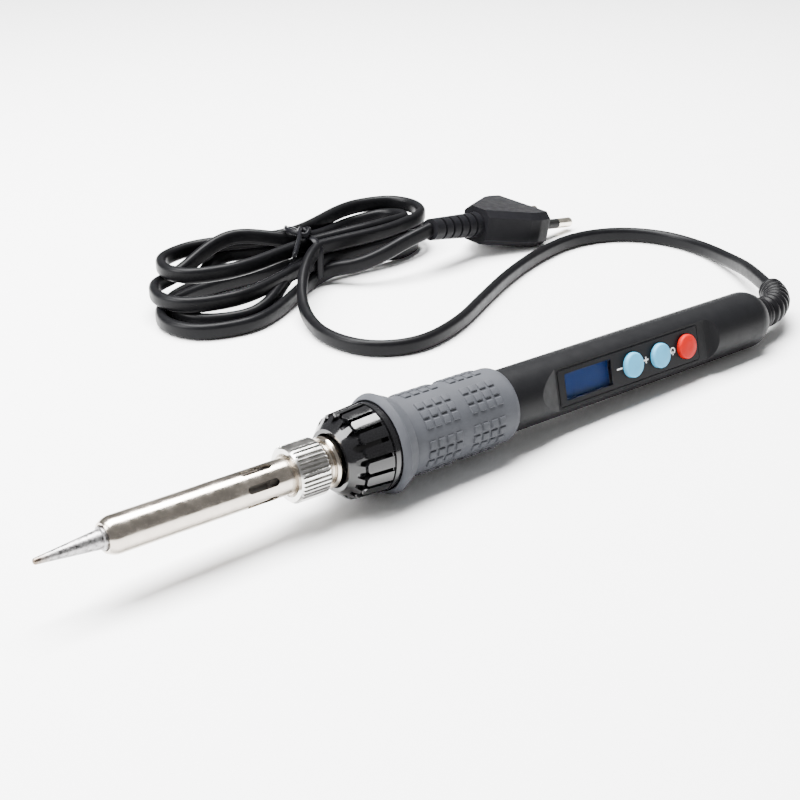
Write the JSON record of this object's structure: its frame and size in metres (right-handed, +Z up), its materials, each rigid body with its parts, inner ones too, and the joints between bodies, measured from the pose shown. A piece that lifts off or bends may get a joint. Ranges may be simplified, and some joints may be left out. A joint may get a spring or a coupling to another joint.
{
  "type": "soldering iron",
  "caption": "Mains soldering iron with digital temperature handle, finned heat collar, rubber grip, knurled nut, slotted barrel, conical tip and a tied flat cord with plug.",
  "frame": {"origin": "centre of the iron's footprint on the surface it rests on, without its cord", "axes": "+X from the tip to the tail, +Z up, +Y towards the hank of cord; the display faces -Y"},
  "size_m": [0.3141, 0.1778, 0.0286],
  "materials": {
    "tip_plating": "satin plated tip",
    "bright_steel": "turned stainless steel",
    "nickel": "bright nickel plate",
    "ceramic": "unglazed ceramic",
    "copper_wire": "bare wire",
    "black_gloss": "glossy black heat-resistant moulding",
    "screw_steel": "plated screw",
    "grip_rubber": "soft grey rubber",
    "handle_plastic": "fine matte moulding",
    "overlay_film": "satin printed panel",
    "lcd_window": "clear window",
    "lcd_film": "blue liquid crystal film",
    "button_blue": "light blue moulding",
    "button_red": "red moulding",
    "switch_black": "switch housing",
    "board_green": "solder mask",
    "component_black": "moulded package",
    "capacitor_yellow": "film capacitor",
    "fuse_glass": "glass fuse",
    "terminal_green": "terminal block",
    "relief_rubber": "satin black rubber",
    "cord_pvc": "satin black sheath",
    "tie_plastic": "plastic-covered wire",
    "plug_plastic": "fine matte moulding",
    "pin_nickel": "nickel-plated brass",
    "sleeve_black": "pin insulation"
  },
  "bodies": {
    "handle": {"circuit_board": "board_green", "collar_screws": "screw_steel", "control_chip": "component_black", "cord_hank": "cord_pvc", "cord_terminal": "terminal_green", "cord_to_hank": "cord_pvc", "cord_to_plug": "cord_pvc", "display_lens": "lcd_window", "film_capacitor": "capacitor_yellow", "finned_collar": "black_gloss", "fuse": "fuse_glass", "handle_back_shell": "handle_plastic", "handle_front_shell": "handle_plastic", "heater_base": "ceramic", "heater_leads": "copper_wire", "heater_rod": "ceramic", "insulator_ring": "ceramic", "lcd_module": "lcd_film", "minus_switch": "switch_black", "panel_overlay": "overlay_film", "pin_sleeve_far": "sleeve_black", "pin_sleeve_near": "sleeve_black", "plug_body": "plug_plastic", "plug_boot": "plug_plastic", "plug_pin_far": "pin_nickel", "plug_pin_near": "pin_nickel", "plus_switch": "switch_black", "power_switch": "switch_black", "rubber_grip": "grip_rubber", "shell_screws": "screw_steel", "strain_relief": "relief_rubber", "threaded_ferrule": "bright_steel", "triac": "component_black", "twist_tie": "tie_plastic"},
    "tip": {"soldering_tip": "tip_plating"},
    "barrel": {"barrel_sleeve": "bright_steel"},
    "nut": {"knurled_nut": "nickel"},
    "minus_key": {"minus_button": "button_blue", "minus_plunger": "switch_black"},
    "plus_key": {"plus_button": "button_blue", "plus_plunger": "switch_black"},
    "power_key": {"power_button": "button_red", "power_plunger": "switch_black"}
  },
  "joints": [
    {"name": "tip_pull_off", "type": "slide", "parent": "handle", "child": "tip", "axis": [-0.9995, 0, 0.0314], "range_m": [0, 0.055]},
    {"name": "barrel_advance", "type": "slide", "parent": "tip", "child": "barrel", "axis": [-0.9995, 0, 0.0314], "range_m": [0, 0.007]},
    {"name": "nut_turn", "type": "hinge", "parent": "barrel", "child": "nut", "pos_m": [-0.05597, 0, 0.01514], "axis": [-0.9995, 0, 0.0314], "range_deg": [0, 2521]},
    {"name": "minus_press", "type": "slide", "parent": "handle", "child": "minus_key", "axis": [-0.0086, 0.9613, -0.2755], "range_m": [0, 0.0005], "stiffness_N_per_m": 800, "springref_m": -0.0005},
    {"name": "plus_press", "type": "slide", "parent": "handle", "child": "plus_key", "axis": [-0.0086, 0.9613, -0.2755], "range_m": [0, 0.0005], "stiffness_N_per_m": 800, "springref_m": -0.0005},
    {"name": "power_press", "type": "slide", "parent": "handle", "child": "power_key", "axis": [-0.0086, 0.9613, -0.2755], "range_m": [0, 0.0005], "stiffness_N_per_m": 800, "springref_m": -0.0005}
  ],
  "couplings": [
    {"joint": "nut_turn", "follows": "barrel_advance", "rad_per_m": 6283.2}
  ]
}
